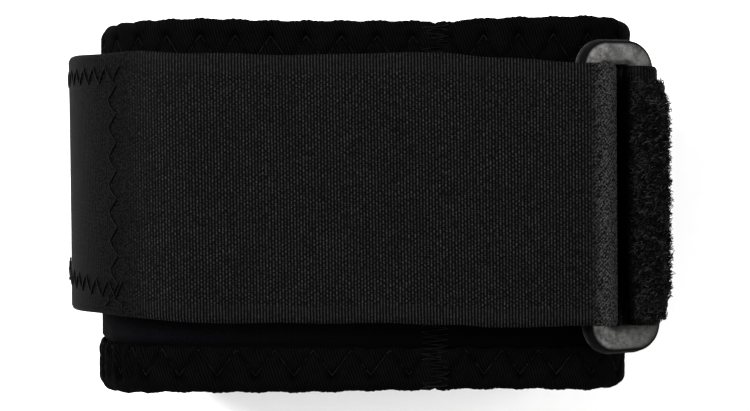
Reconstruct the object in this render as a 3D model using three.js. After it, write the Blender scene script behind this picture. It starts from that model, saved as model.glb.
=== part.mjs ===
// A tennis elbow strap: a closed foam sleeve with a knitted binding round each rim, a strap of
// hook-and-loop tape that goes round it and through a moulded ring, and the loop of tape that
// holds the ring. It lies on its back. Millimetres, +Z up. The arm goes through along Y. From
// above, +X is to the right and +Y is towards the upper rim.
import * as THREE from 'three';

// Sleeve. Its outline is four bends joined by flats, with a front that bows out a little.
const SLEEVE_WIDTH = 103.6;
const SLEEVE_DEPTH = 52;
const SLEEVE_HEIGHT = 69.2;
const FOAM_WALL = 3;
const PRESSED_WALL = 1.6;
const LEFT_BEND = 24;
const FRONT_RIGHT_BEND = 13;
const BACK_RIGHT_BEND = 22;
const FRONT_BOW = 1.5;

// Knitted binding, folded round each rim.
const BINDING_WIDTH = 8;
const BINDING_WALL = 0.9;
const BINDING_NOSE = 0.7;
const PRESSED_RAMP = 1.2;

// Hook-and-loop tape. Its pile stops short of the woven edges.
const TAPE_WIDTH = 49.5;
const TAPE_BACKING = 1;
const TAPE_PILE = 1;
const TAPE_EDGE = 3.2;
const PILE_SLOPE = 0.5;
const FREE_PILE = 2.6;

// Hook patch, sewn under the strap's free end.
const PATCH_WALL = 1.2;
const PATCH_WIDTH = 43;
const PATCH_START_DEGREES = 220;
const STRAP_END_DEGREES = 286;
const PATCH_MARGIN_DEGREES = 4;

// Moulded ring.
const RING_WIDTH = 14.3;
const RING_THICKNESS = 3.2;
const RING_BAR = 4.2;
const RING_END_BAR = 4;
const RING_CORNER = 6.4;
const RING_SLOT_CORNER = 1;
const RING_EDGE = 1;
const RING_OVERHANG = 3.8;

// Clearances.
const GAP = 0.3;
const BAR_GAP = 0.5;
const SLOT_END_GAP = 0.45;
const SEAT_GAP = 0.05;

// Where the tapes start on the sleeve's back, and the space between their sewn ends.
const BACK_JOIN = 18;
const BACK_JOIN_SPACE = 2;

// The tapes and the ring lean a little: x falls by this share of y.
const LEAN = 0.014;

// How finely bends and flats are divided.
const BEND_STEP_DEGREES = 12;
const LONG_STEP = 5.5;
const ROUND_SEGMENTS = 5;
const EDGE_SEGMENTS = 3;

// The tape's middle from front left to front right: at is a share of half the sleeve's width,
// rise a share of the tape's width.
const TAPE_DRIFT = [
  { at: -1.1, rise: 0.089 },
  { at: -0.83, rise: 0.081 },
  { at: -0.57, rise: 0.065 },
  { at: -0.19, rise: 0.061 },
  { at: 0.13, rise: 0.065 },
  { at: 0.3, rise: 0.061 },
  { at: 0.47, rise: 0.048 },
  { at: 0.75, rise: 0.042 },
  { at: 1.1, rise: 0.036 },
];

// The rims on the sleeve's front: at is a share of half the width, upper and lower are shares
// of the height by which each rim stands out. The dip at 0.31 is at the flat seam.
const RIM_WAVES = [
  { at: -1, upper: 0, lower: 0.002 },
  { at: -0.6, upper: 0.001, lower: 0.002 },
  { at: -0.25, upper: -0.004, lower: 0.002 },
  { at: 0.14, upper: -0.004, lower: -0.003 },
  { at: 0.31, upper: -0.008, lower: -0.006 },
  { at: 0.38, upper: 0.002, lower: -0.008 },
  { at: 0.6, upper: 0.006, lower: -0.011 },
  { at: 0.85, upper: 0.009, lower: -0.006 },
  { at: 1, upper: 0.007, lower: -0.004 },
];

// Sizes that follow from those above.
const TAPE = TAPE_BACKING + TAPE_PILE;
const BINDING_OUT = PRESSED_WALL / 2 + GAP + BINDING_WALL;
const BINDING_PROUD = BINDING_OUT - FOAM_WALL / 2;
const LAY = Math.max(BINDING_PROUD, 0) + GAP;
const INNER_LAYER = LAY + TAPE / 2;
const PATCH_LAYER = LAY + TAPE + GAP + PATCH_WALL / 2;
const OUTER_LAYER = INNER_LAYER + TAPE + GAP;
const PATCHED_LAYER = PATCH_LAYER + PATCH_WALL / 2 + GAP + TAPE / 2;
const BAR_WRAP = RING_BAR / 2 + BAR_GAP + TAPE / 2;
const BAR_SPACING = RING_WIDTH - RING_BAR;
const RING_LENGTH = TAPE_WIDTH + 2 * (SLOT_END_GAP + RING_END_BAR);
const HALF_WIDTH = SLEEVE_WIDTH / 2;
const SLEEVE_BACK = TAPE + LAY;

const radians = THREE.MathUtils.degToRad;

// A value of a table between its rows, with a smooth slope at each row.
function tableValue(table, column, at) {
  const last = table.length - 1;
  if (at <= table[0].at) return table[0][column];
  if (at >= table[last].at) return table[last][column];
  const i = table.findIndex((row) => row.at > at) - 1;
  const share = THREE.MathUtils.smoothstep(at, table[i].at, table[i + 1].at);
  return THREE.MathUtils.lerp(table[i][column], table[i + 1][column], share);
}

// The sleeve's bends as wheels, seen along Y: each has a middle (x, z) and a radius.
function sleeveBends() {
  const left = -HALF_WIDTH + LEFT_BEND;
  const frontRight = HALF_WIDTH - FRONT_RIGHT_BEND;
  const chord = frontRight - left;
  const bow = chord ** 2 / (8 * FRONT_BOW) + FRONT_BOW / 2;
  const front = { x: (left + frontRight) / 2, z: SLEEVE_BACK + SLEEVE_DEPTH - bow, radius: bow };
  const underFront = (x, radius) => ({
    x,
    z: front.z + Math.sqrt((bow - radius) ** 2 - (x - front.x) ** 2),
    radius,
  });
  return {
    front,
    frontLeft: underFront(left, LEFT_BEND),
    frontRight: underFront(frontRight, FRONT_RIGHT_BEND),
    backLeft: { x: left, z: SLEEVE_BACK + LEFT_BEND, radius: LEFT_BEND },
    backRight: {
      x: HALF_WIDTH - BACK_RIGHT_BEND,
      z: SLEEVE_BACK + BACK_RIGHT_BEND,
      radius: BACK_RIGHT_BEND,
    },
  };
}

const BENDS = sleeveBends();
const LEFTWARD = 1;
const RIGHTWARD = -1;

// A wheel for a path that runs clear of a bend by out. A turn of LEFTWARD is anticlockwise.
const round = (bend, out, turn) => ({ ...bend, radius: bend.radius + out, turn });
const point = (x, z) => ({ x, z, radius: 0, turn: LEFTWARD });

// The straight stretch from one wheel to the next, touching both.
function straightBetween(a, b) {
  const from = a.radius * a.turn;
  const to = b.radius * b.turn;
  const reach = Math.hypot(b.x - a.x, b.z - a.z);
  const length = Math.sqrt(Math.max(reach ** 2 - (to - from) ** 2, 0));
  const heading = Math.atan2(b.z - a.z, b.x - a.x) - Math.atan2(to - from, length);
  return { heading, length };
}

// The place and heading on a wheel's rim where a path has that heading.
function onWheel(wheel, heading) {
  const reach = wheel.radius * wheel.turn;
  return {
    x: wheel.x + reach * Math.sin(heading),
    z: wheel.z - reach * Math.cos(heading),
    heading,
  };
}

// How far a path turns on a wheel, from one heading to the next, the way the wheel turns.
function turnOn(wheel, from, to) {
  const full = 2 * Math.PI;
  const turned = (((to - from) * wheel.turn) % full + full) % full;
  const nothing = full - turned < 1e-6;
  return nothing ? 0 : turned * wheel.turn;
}

// A path round wheels, like a belt: an arc on each and a straight stretch between two. Each
// station has a place and a heading. An open path may start and end part of the way round.
function beltPath(wheels, { closed = false, start, end } = {}) {
  const count = wheels.length;
  const legs = wheels.map((wheel, i) => straightBetween(wheel, wheels[(i + 1) % count]));
  const stations = [];
  wheels.forEach((wheel, i) => {
    const before = closed || i > 0 ? legs[(i + count - 1) % count].heading : start ?? legs[0].heading;
    const after = closed || i < count - 1 ? legs[i].heading : end ?? before;
    const turned = turnOn(wheel, before, after);
    const arc = Math.abs(turned) * wheel.radius;
    const steps = Math.ceil(Math.max(
      Math.abs(turned) / radians(BEND_STEP_DEGREES), arc / LONG_STEP, arc > GAP ? 1 : 0));
    for (let k = 0; k <= steps; k++) {
      stations.push(onWheel(wheel, before + turned * (steps ? k / steps : 0)));
    }
    if (!closed && i === count - 1) return;
    const pieces = Math.ceil(legs[i].length / LONG_STEP);
    const first = onWheel(wheel, after);
    for (let k = 1; k < pieces; k++) {
      const along = legs[i].length * k / pieces;
      stations.push({
        x: first.x + along * Math.cos(after),
        z: first.z + along * Math.sin(after),
        heading: after,
      });
    }
  });
  return withoutTwins(stations, closed);
}

// Stations that lie on top of each other become one.
function withoutTwins(stations, closed) {
  const apart = (a, b) => Math.hypot(a.x - b.x, a.z - b.z) > GAP;
  const kept = stations.filter((here, i) => i === 0 || apart(here, stations[i - 1]));
  if (closed && !apart(kept[0], kept[kept.length - 1])) kept.pop();
  return kept;
}

// A closed body from a section carried along stations. sectionAt gives each corner's place
// across, along Y, and out, along the side of the path that side names.
function loft(stations, sectionAt, side, closed = false) {
  const rings = stations.map((station, i) => sectionAt(station, i));
  const corners = rings[0].length;
  const positions = [];
  stations.forEach((station, i) => {
    const outX = -Math.sin(station.heading) * side;
    const outZ = Math.cos(station.heading) * side;
    for (const { across, out, lean = 0 } of rings[i]) {
      positions.push(station.x + out * outX - lean, across, station.z + out * outZ);
    }
  });
  const faces = [];
  const spans = closed ? stations.length : stations.length - 1;
  for (let i = 0; i < spans; i++) {
    const here = i * corners;
    const next = ((i + 1) % stations.length) * corners;
    for (let k = 0; k < corners; k++) {
      const k2 = (k + 1) % corners;
      faces.push([here + k, here + k2, next + k2], [here + k, next + k2, next + k]);
    }
  }
  if (!closed) {
    const end = (stations.length - 1) * corners;
    for (const [a, b, c] of sectionFaces(rings[0])) faces.push([c, b, a]);
    for (const [a, b, c] of sectionFaces(rings[rings.length - 1])) faces.push([end + a, end + b, end + c]);
  }
  const geometry = new THREE.BufferGeometry();
  geometry.setAttribute('position', new THREE.Float32BufferAttribute(positions, 3));
  geometry.setIndex(facingOut(positions, faces).flat());
  geometry.computeVertexNormals();
  return geometry;
}

// A section's own faces, all wound the way its corners run.
function sectionFaces(section) {
  const outline = section.map(({ across, out }) => new THREE.Vector2(across, out));
  const sense = Math.sign(THREE.ShapeUtils.area(outline));
  return THREE.ShapeUtils.triangulateShape(outline, []).map(([a, b, c]) => {
    const wound = Math.sign(THREE.ShapeUtils.area([outline[a], outline[b], outline[c]]));
    return wound === sense ? [a, b, c] : [c, b, a];
  });
}

// The faces with their outsides out: the volume that they enclose is then above nothing.
function facingOut(positions, faces) {
  const corner = (i) => new THREE.Vector3().fromArray(positions, 3 * i);
  const volume = faces.reduce((sum, [a, b, c]) => (
    sum + corner(a).dot(corner(b).cross(corner(c)))), 0);
  return volume > 0 ? faces : faces.map(([a, b, c]) => [c, b, a]);
}

// How far the two rims stand out at a station: only the front of the sleeve waves.
function rimShift(station) {
  const front = THREE.MathUtils.smoothstep(-Math.cos(station.heading), 0, 1);
  const at = station.x / HALF_WIDTH;
  return {
    upper: front * SLEEVE_HEIGHT * tableValue(RIM_WAVES, 'upper', at),
    lower: front * SLEEVE_HEIGHT * tableValue(RIM_WAVES, 'lower', at),
  };
}

const sleevePath = () => beltPath([
  round(BENDS.backRight, 0, LEFTWARD),
  round(BENDS.frontRight, 0, LEFTWARD),
  round(BENDS.front, 0, LEFTWARD),
  round(BENDS.frontLeft, 0, LEFTWARD),
  round(BENDS.backLeft, 0, LEFTWARD),
], { closed: true });

// The foam wall, pressed thinner where a binding grips it. Out is 0 on its outer face.
function foamSection(station) {
  const middle = -FOAM_WALL / 2;
  const grip = BINDING_WIDTH - BINDING_WALL;
  const { upper, lower } = rimShift(station);
  const edge = SLEEVE_HEIGHT / 2 - BINDING_WALL - GAP;
  const top = edge + upper;
  const bottom = -edge - lower;
  const face = (sign) => [
    { across: bottom, out: middle + sign * PRESSED_WALL / 2 },
    { across: bottom + grip, out: middle + sign * PRESSED_WALL / 2 },
    { across: bottom + grip + PRESSED_RAMP, out: middle + sign * FOAM_WALL / 2 },
    { across: top - grip - PRESSED_RAMP, out: middle + sign * FOAM_WALL / 2 },
    { across: top - grip, out: middle + sign * PRESSED_WALL / 2 },
    { across: top, out: middle + sign * PRESSED_WALL / 2 },
  ];
  return [...face(1), ...face(-1).reverse()];
}

// The binding's folded section round a rim. Sign is +1 on the upper rim and -1 on the lower.
function bindingSection(station, sign) {
  const shift = rimShift(station);
  const middle = -FOAM_WALL / 2;
  const rim = SLEEVE_HEIGHT / 2 + (sign > 0 ? shift.upper : shift.lower);
  const inside = PRESSED_WALL / 2 + GAP;
  const outline = [
    [rim - BINDING_WIDTH, BINDING_OUT],
    [rim - BINDING_NOSE, BINDING_OUT],
    [rim, BINDING_OUT - BINDING_NOSE],
    [rim, BINDING_NOSE - BINDING_OUT],
    [rim - BINDING_NOSE, -BINDING_OUT],
    [rim - BINDING_WIDTH, -BINDING_OUT],
    [rim - BINDING_WIDTH, -inside],
    [rim - BINDING_WALL, -inside],
    [rim - BINDING_WALL, inside],
    [rim - BINDING_WIDTH, inside],
  ];
  return outline.map(([across, out]) => ({ across: sign * across, out: middle + out }));
}

// The tape's middle along Y at a station.
const tapeMiddle = (x) => TAPE_WIDTH * tableValue(TAPE_DRIFT, 'rise', x / HALF_WIDTH);

// The tape's section: a backing with lower woven edges and a field of pile on its outer side.
function tapeSection(station, pile = TAPE_PILE) {
  const half = TAPE_WIDTH / 2;
  const field = half - TAPE_EDGE;
  const back = -TAPE / 2;
  const edge = back + TAPE_BACKING;
  const outline = [
    [-half, back], [half, back], [half, edge], [field + PILE_SLOPE, edge],
    [field, edge + pile], [-field, edge + pile], [-field - PILE_SLOPE, edge], [-half, edge],
  ];
  const middle = tapeMiddle(station.x);
  return outline.map(([across, out]) => ({ across: middle + across, out, lean: LEAN * across }));
}

// The hook patch's plain section, in the middle of the tape's width.
function patchSection(station) {
  const middle = tapeMiddle(station.x);
  const half = PATCH_WIDTH / 2;
  const wall = PATCH_WALL / 2;
  const outline = [[-half, -wall], [half, -wall], [half, wall], [-half, wall]];
  return outline.map(([across, out]) => ({ across: middle + across, out, lean: LEAN * across }));
}

// The ring's bars seen along Y. The left bar lies on the strap over the sleeve's front, and the
// right bar on the tape's tail over the front right bend.
function ringBars() {
  const { front, frontRight } = BENDS;
  const left = { x: frontRight.x + RING_OVERHANG, radius: 0 };
  const overFront = front.radius + INNER_LAYER + BAR_WRAP + SEAT_GAP;
  left.z = front.z + Math.sqrt(overFront ** 2 - (left.x - front.x) ** 2);
  const overBend = frontRight.radius + INNER_LAYER + BAR_WRAP + SEAT_GAP;
  const apart = Math.hypot(left.x - frontRight.x, left.z - frontRight.z);
  const cosine = (apart ** 2 + overBend ** 2 - BAR_SPACING ** 2) / (2 * apart * overBend);
  const angle = Math.atan2(left.z - frontRight.z, left.x - frontRight.x) - Math.acos(cosine);
  const right = {
    x: frontRight.x + overBend * Math.cos(angle),
    z: frontRight.z + overBend * Math.sin(angle),
    radius: 0,
  };
  return { left, right };
}

const BARS = ringBars();

// From its sewn end on the back round the left side, over the front, up through the ring and
// back over the front to its free end on the left side.
const strapPath = () => beltPath([
  point(BACK_JOIN, TAPE / 2),
  round(BENDS.backLeft, INNER_LAYER, RIGHTWARD),
  round(BENDS.frontLeft, INNER_LAYER, RIGHTWARD),
  round(BENDS.front, INNER_LAYER, RIGHTWARD),
  round(BARS.left, BAR_WRAP, LEFTWARD),
  round(BENDS.frontLeft, PATCHED_LAYER, LEFTWARD),
  round(BENDS.backLeft, PATCHED_LAYER, LEFTWARD),
], { end: radians(STRAP_END_DEGREES) });

// From its sewn end on the back round the right side, over the ring's right bar, down through
// the slot and under the bar to a sewn tail on the front right bend.
const ringLoopPath = () => beltPath([
  point(BACK_JOIN + BACK_JOIN_SPACE, TAPE / 2),
  round(BENDS.backRight, INNER_LAYER, LEFTWARD),
  round(BENDS.frontRight, OUTER_LAYER, LEFTWARD),
  round(BARS.right, BAR_WRAP, LEFTWARD),
  round(BENDS.frontRight, INNER_LAYER, RIGHTWARD),
], { end: radians(-90) });

const patchPath = () => beltPath([
  round(BENDS.frontLeft, PATCH_LAYER, LEFTWARD),
  round(BENDS.backLeft, PATCH_LAYER, LEFTWARD),
], { start: radians(PATCH_START_DEGREES), end: radians(STRAP_END_DEGREES - PATCH_MARGIN_DEGREES) });

// The pile of the ring's tape stands free where it shows, on the right side, and is pressed
// flat on the back and inside the ring's slot.
function ringLoopPile(station) {
  const rising = THREE.MathUtils.smoothstep(Math.sin(station.heading), 0.2, 0.9);
  return THREE.MathUtils.lerp(TAPE_PILE, FREE_PILE, rising);
}

// A rounded rectangle round the middle, as a closed outline.
function roundedRectangle(outline, width, length, corner) {
  const x = width / 2;
  const y = length / 2;
  outline.moveTo(corner - x, -y);
  outline.lineTo(x - corner, -y).absarc(x - corner, corner - y, corner, -Math.PI / 2, 0);
  outline.lineTo(x, y - corner).absarc(x - corner, y - corner, corner, 0, Math.PI / 2);
  outline.lineTo(corner - x, y).absarc(corner - x, y - corner, corner, Math.PI / 2, Math.PI);
  outline.lineTo(-x, corner - y).absarc(corner - x, corner - y, corner, Math.PI, 1.5 * Math.PI);
  return outline;
}

function ringGeometry() {
  const outline = roundedRectangle(new THREE.Shape(), RING_WIDTH, RING_LENGTH, RING_CORNER);
  const slotWidth = RING_WIDTH - 2 * RING_BAR;
  const slotLength = RING_LENGTH - 2 * RING_END_BAR;
  outline.holes.push(roundedRectangle(new THREE.Path(), slotWidth, slotLength, RING_SLOT_CORNER));
  const geometry = new THREE.ExtrudeGeometry(outline, {
    depth: RING_THICKNESS - 2 * RING_EDGE,
    bevelThickness: RING_EDGE,
    bevelSize: RING_EDGE,
    bevelOffset: -RING_EDGE,
    bevelSegments: EDGE_SEGMENTS,
    curveSegments: ROUND_SEGMENTS,
  });
  return geometry.translate(0, 0, RING_EDGE - RING_THICKNESS / 2);
}

function mesh(name, geometry, colour, roughness) {
  const material = new THREE.MeshStandardMaterial({ color: colour, roughness, metalness: 0 });
  const piece = new THREE.Mesh(geometry, material);
  piece.name = name;
  return piece;
}

const COLOURS = { jersey: 0x0c0c0e, binding: 0x0d0c0d, tape: 0x19181a, pile: 0x121012, ring: 0x58585a };

function makeSleeve() {
  return mesh('neoprene_sleeve', loft(sleevePath(), foamSection, RIGHTWARD, true), COLOURS.jersey, 0.9);
}

function makeBinding(name, sign) {
  const section = (station) => bindingSection(station, sign);
  return mesh(name, loft(sleevePath(), section, RIGHTWARD, true), COLOURS.binding, 0.9);
}

function makeStrap() {
  const section = (station) => tapeSection(station);
  return mesh('strap', loft(strapPath(), section, LEFTWARD), COLOURS.tape, 0.8);
}

function makeRingLoop() {
  const section = (station) => tapeSection(station, ringLoopPile(station));
  return mesh('ring_loop', loft(ringLoopPath(), section, RIGHTWARD), COLOURS.pile, 0.95);
}

function makeHookPatch() {
  return mesh('hook_patch', loft(patchPath(), patchSection, LEFTWARD), COLOURS.tape, 0.7);
}

function makeRing() {
  const { left, right } = BARS;
  const ring = mesh('ring', ringGeometry(), COLOURS.ring, 0.45);
  const middle = (left.x + right.x) / 2;
  ring.rotation.order = 'ZYX';
  ring.rotation.set(0, Math.atan2(left.z - right.z, right.x - left.x), LEAN);
  ring.position.set(middle, tapeMiddle(middle), (left.z + right.z) / 2);
  return ring;
}

// The whole strap, with its origin under its middle on the surface that it lies on.
function makeElbowStrap() {
  const strap = new THREE.Group();
  strap.add(
    makeSleeve(),
    makeBinding('upper_binding', 1),
    makeBinding('lower_binding', -1),
    makeStrap(),
    makeHookPatch(),
    makeRingLoop(),
    makeRing(),
  );
  strap.updateMatrixWorld(true);
  const box = new THREE.Box3().setFromObject(strap, true);
  const middle = box.getCenter(new THREE.Vector3());
  strap.position.set(-middle.x, -middle.y, -box.min.z);
  return strap;
}

export default makeElbowStrap();
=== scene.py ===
# %% [markdown]
# # Dressing a tennis elbow strap
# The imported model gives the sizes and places. This lesson adds what the eye looks for: ribbed
# tape, a deep pile, puckered bindings, thread and worn plastic. It starts by loading the frame
# and keeping its box, because nothing here may grow the strap by more than a little.

import bpy
import numpy as np
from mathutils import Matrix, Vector


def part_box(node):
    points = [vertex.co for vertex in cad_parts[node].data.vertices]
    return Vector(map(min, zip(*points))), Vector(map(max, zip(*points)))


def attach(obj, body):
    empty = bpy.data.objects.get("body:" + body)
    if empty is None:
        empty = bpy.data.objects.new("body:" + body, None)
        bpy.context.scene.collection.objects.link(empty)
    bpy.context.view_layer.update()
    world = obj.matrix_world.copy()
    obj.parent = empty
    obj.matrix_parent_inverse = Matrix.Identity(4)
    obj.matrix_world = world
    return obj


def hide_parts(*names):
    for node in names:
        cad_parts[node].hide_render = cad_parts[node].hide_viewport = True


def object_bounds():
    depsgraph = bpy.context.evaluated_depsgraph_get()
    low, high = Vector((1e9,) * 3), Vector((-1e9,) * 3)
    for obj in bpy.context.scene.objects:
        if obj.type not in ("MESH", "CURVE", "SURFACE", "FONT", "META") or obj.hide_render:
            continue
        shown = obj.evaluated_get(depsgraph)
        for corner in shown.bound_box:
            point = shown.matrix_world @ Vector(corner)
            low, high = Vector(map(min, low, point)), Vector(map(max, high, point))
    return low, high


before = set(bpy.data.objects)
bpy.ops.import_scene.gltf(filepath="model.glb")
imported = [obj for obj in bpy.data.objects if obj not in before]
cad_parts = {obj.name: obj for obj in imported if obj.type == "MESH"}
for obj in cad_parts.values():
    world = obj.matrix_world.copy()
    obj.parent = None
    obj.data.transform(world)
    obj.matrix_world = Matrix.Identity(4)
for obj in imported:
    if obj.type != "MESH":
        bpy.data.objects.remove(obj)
cad_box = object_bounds()
print("nodes:", ", ".join(sorted(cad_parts)))

# %% [markdown]
# ## Sizes
# The strap lies on its back with the arm's way along Y. All lengths are in millimetres until a
# mesh is made. They repeat the model's driving sizes, with the ring's corners a little tighter, and
# the shift between the drawing's middle and the model's origin is read from the sleeve's box.

# %% Sizes in millimetres
METRE = 0.001
SLEEVE_WIDTH, SLEEVE_DEPTH, SLEEVE_HEIGHT = 103.6, 52.0, 69.2
FOAM_WALL, PRESSED_WALL, PRESSED_RAMP = 3.0, 1.6, 1.2
LEFT_BEND, FRONT_RIGHT_BEND, BACK_RIGHT_BEND, FRONT_BOW = 24.0, 13.0, 22.0, 1.5
BINDING_WIDTH, BINDING_WALL = 8.0, 0.9
TAPE_WIDTH, TAPE_BACKING, TAPE_PILE, TAPE_EDGE = 49.5, 1.0, 1.0, 3.2
PATCH_WALL, PATCH_WIDTH = 1.2, 43.0
PATCH_START, STRAP_END, PATCH_MARGIN = 220.0, 286.0, 4.0
RING_WIDTH, RING_THICKNESS, RING_BAR, RING_END_BAR = 14.3, 3.2, 4.2, 4.0
RING_CORNER, RING_SLOT_CORNER, RING_OVERHANG = 5.3, 1.0, 3.8
GAP, BAR_GAP, SLOT_END_GAP, SEAT_GAP = 0.3, 0.5, 0.45, 0.05
BACK_JOIN, BACK_JOIN_SPACE, LEAN, LOOP_SKEW = 18.0, 2.0, 0.014, 2.6

HALF_WIDTH = SLEEVE_WIDTH / 2
TAPE = TAPE_BACKING + TAPE_PILE
BINDING_OUT = PRESSED_WALL / 2 + GAP + BINDING_WALL
LAY = BINDING_OUT - FOAM_WALL / 2 + GAP
INNER_LAYER = LAY + TAPE / 2
PATCH_LAYER = LAY + TAPE + GAP + PATCH_WALL / 2
OUTER_LAYER = INNER_LAYER + TAPE + GAP
PATCHED_LAYER = PATCH_LAYER + PATCH_WALL / 2 + GAP + TAPE / 2
BAR_WRAP = RING_BAR / 2 + BAR_GAP + TAPE / 2
SLEEVE_BACK = TAPE + LAY
FOAM_EDGE = SLEEVE_HEIGHT / 2 - BINDING_WALL - GAP
LEFTWARD, RIGHTWARD = 1, -1

# Places along X as shares of TABLE_WIDTH, and the tape's drift or the rims' waves there. The waves
# follow the photograph a little closer than the model's do, whose lower rim reaches out less.
TABLE_WIDTH = 53.0
MODEL_LOWER_WAVE = 0.002 * SLEEVE_HEIGHT
DRIFT_AT = np.array([-1.1, -0.83, -0.57, -0.19, 0.13, 0.3, 0.47, 0.75, 1.1])
DRIFT = TAPE_WIDTH * np.array([0.089, 0.081, 0.065, 0.061, 0.065, 0.061, 0.048, 0.042, 0.036])
WAVE_AT = np.array([-1, -0.6, -0.25, 0.14, 0.31, 0.38, 0.6, 0.85, 1])
UPPER_WAVE = SLEEVE_HEIGHT * np.array([9, 9, 1, 0, -5, 6, 12, 17, 13]) / 1000
LOWER_WAVE = SLEEVE_HEIGHT * np.array([24, 8, 6, 0, -3, -3, -3, 2, 0]) / 1000

sleeve_low, sleeve_high = (np.array(corner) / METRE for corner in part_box("neoprene_sleeve"))
SHIFT = np.array([(sleeve_low[0] + sleeve_high[0]) / 2,
                  sleeve_low[1] + FOAM_EDGE + MODEL_LOWER_WAVE,
                  sleeve_low[2] - SLEEVE_BACK])
print("drawing to model shift, mm:", SHIFT.round(3))

# %% [markdown]
# ## Paths round wheels
# Seen from the rim, every layer runs like a belt: straight between two wheels and an arc on each.
# The sleeve's bends are such wheels, and so are the ring's two bars. A layer that lies further
# out runs round the same middles with a larger radius, so layers never cut each other.

# %% Smooth tables and belt paths


def smooth_table(at, places, values):
    """A table's value, eased between rows: the share t of the way becomes t squared times
    3 minus 2 t, so that the curve is level at each row."""
    at = np.clip(at, places[0], places[-1])
    row = np.clip(np.searchsorted(places, at, side="right") - 1, 0, len(places) - 2)
    share = (at - places[row]) / (places[row + 1] - places[row])
    share = share * share * (3 - 2 * share)
    return values[row] * (1 - share) + values[row + 1] * share


def ease(value, low, high):
    """0 below low, 1 above high and a smooth step between."""
    share = np.clip((value - low) / (high - low), 0, 1)
    return share * share * (3 - 2 * share)


STATION_STEP = 0.4


def belt(wheels, start=None, end=None, closed=False):
    """A path round wheels of (x, z, radius, turn). Between two wheels it follows the line that
    touches both; on a wheel, a point is the middle plus the radius at right angles to the
    heading. The result holds the distance along, the place and the heading of each station."""
    wheels = np.array(wheels, float)
    bend = wheels[:, 2] * wheels[:, 3]
    reach = np.roll(wheels, -1, axis=0)[:, :2] - wheels[:, :2]
    change = np.roll(bend, -1) - bend
    length = np.sqrt(np.maximum((reach ** 2).sum(1) - change ** 2, 0))
    leaving = np.arctan2(reach[:, 1], reach[:, 0]) - np.arctan2(change, length)
    coming = np.roll(leaving, 1)
    if not closed:
        coming[0] = leaving[0] if start is None else start
        leaving[-1] = coming[-1] if end is None else end
    turned = np.mod((leaving - coming) * wheels[:, 3], 2 * np.pi)
    turned = np.where(turned > 2 * np.pi - 1e-6, 0, turned) * wheels[:, 3]
    parts, heading = [], coming[0]
    for (x, z, radius, turn), angle in zip(wheels, turned):
        shares = np.linspace(0, 1, int(abs(angle) * radius / STATION_STEP) + 2)
        headings = heading + angle * shares
        parts.append(np.stack([x + radius * turn * np.sin(headings),
                               z - radius * turn * np.cos(headings), headings], 1))
        heading += angle
    if closed:
        parts.append(parts[0][:1] + [0, 0, heading - coming[0]])
    stations = np.concatenate(parts)
    gaps = np.hypot(*np.diff(stations[:, :2], axis=0).T)
    kept = np.concatenate([[True], gaps > 1e-6])
    stations = stations[kept]
    along = np.concatenate([[0], np.cumsum(gaps[kept[1:]])])
    return {"along": along, "x": stations[:, 0], "z": stations[:, 1],
            "heading": stations[:, 2], "length": along[-1]}


def place(path, along, across, out, side, lean=0.0):
    """Points beside a path: the station's place, plus out times the direction at right angles to
    its heading, on the left for side 1 and the right for side -1, plus across along Y."""
    x, z, heading = (np.interp(along, path["along"], path[key]) for key in ("x", "z", "heading"))
    return np.stack(np.broadcast_arrays(x - side * out * np.sin(heading) - lean * across,
                                        across, z + side * out * np.cos(heading)), -1)


LEFT_BULGE = 0.26
NARROWED = 0.025


def place_sleeve(path, along, across, out, side):
    """Points on the sleeve or its bindings. Its right end has settled inwards, more at the lower
    rim than at the upper, and its left end bulges a little at the lower rim."""
    points = place(path, along, across, out, side)
    x, y = points[..., 0], points[..., 1]
    settled = ease(x, 10, 50) * (0.8 - 0.017 * y)
    bulged = ease(-x, 10, 50) * np.clip(0.12 - 0.008 * y, 0, LEFT_BULGE)
    points[..., 0] = x - settled - bulged
    return points


def place_tape(path, along, across, out, side, upright=0.6):
    """Points on a tape. It leans, less so near the ring, and drifts along Y as the table says,
    and it is pulled a little narrower where it comes to the ring."""
    x = np.interp(along, path["along"], path["x"])
    across = across * (1 - NARROWED * ease(x, 22, 44))
    points = place(path, along, across, out, side, LEAN * (1 - upright * ease(x, 10, 40)))
    points[..., 1] += smooth_table(x / TABLE_WIDTH, DRIFT_AT, DRIFT)
    return points


def place_loop(path, along, across, out, side):
    """Points on the ring's loop. It leans all the way, and low on the side, where it comes from
    the back, it lies a little nearer the lower rim."""
    points = place_tape(path, along, across, out, side, 0.0)
    points[..., 1] -= LOOP_SKEW * (1 - ease(points[..., 2], 22, 50))
    return points


# %% The sleeve's bends and the ring's bars as wheels
front_left_x = -HALF_WIDTH + LEFT_BEND
front_right_x = HALF_WIDTH - FRONT_RIGHT_BEND
front_radius = (front_right_x - front_left_x) ** 2 / (8 * FRONT_BOW) + FRONT_BOW / 2
FRONT = ((front_left_x + front_right_x) / 2, SLEEVE_BACK + SLEEVE_DEPTH - front_radius, front_radius)


def under_front(x, radius):
    """A bend's middle that touches the front from inside: as far below the front's own middle
    distance as its radius is smaller."""
    return (x, FRONT[1] + np.sqrt((FRONT[2] - radius) ** 2 - (x - FRONT[0]) ** 2), radius)


FRONT_LEFT = under_front(front_left_x, LEFT_BEND)
FRONT_RIGHT = under_front(front_right_x, FRONT_RIGHT_BEND)
BACK_LEFT = (front_left_x, SLEEVE_BACK + LEFT_BEND, LEFT_BEND)
BACK_RIGHT = (HALF_WIDTH - BACK_RIGHT_BEND, SLEEVE_BACK + BACK_RIGHT_BEND, BACK_RIGHT_BEND)


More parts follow.
